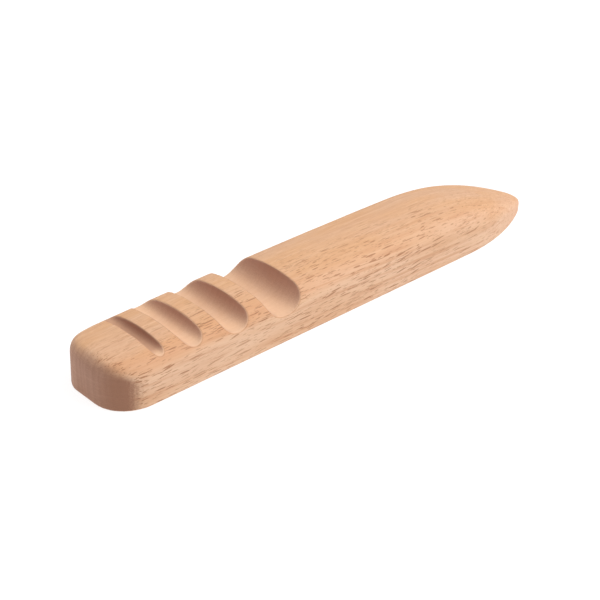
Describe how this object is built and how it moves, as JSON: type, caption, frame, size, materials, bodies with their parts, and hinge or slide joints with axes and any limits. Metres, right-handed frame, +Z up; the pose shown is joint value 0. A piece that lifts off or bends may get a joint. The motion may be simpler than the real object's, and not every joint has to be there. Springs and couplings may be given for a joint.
{
  "type": "wood edge slicker",
  "caption": "Hand-held wooden stick with rounded grooves across the top at one end and a low pointed nose at the other, for rubbing leather edges smooth.",
  "frame": {"origin": "middle of the flat underside, halfway between the butt and the tip of the nose", "axes": "+X along the stick towards the nose, +Z up out of the grooved face, Y across the stick"},
  "size_m": [0.155, 0.024, 0.0144],
  "materials": {
    "beech": "bare, finely sanded"
  },
  "bodies": {
    "root": {"slicker_body": "beech"}
  },
  "joints": []
}
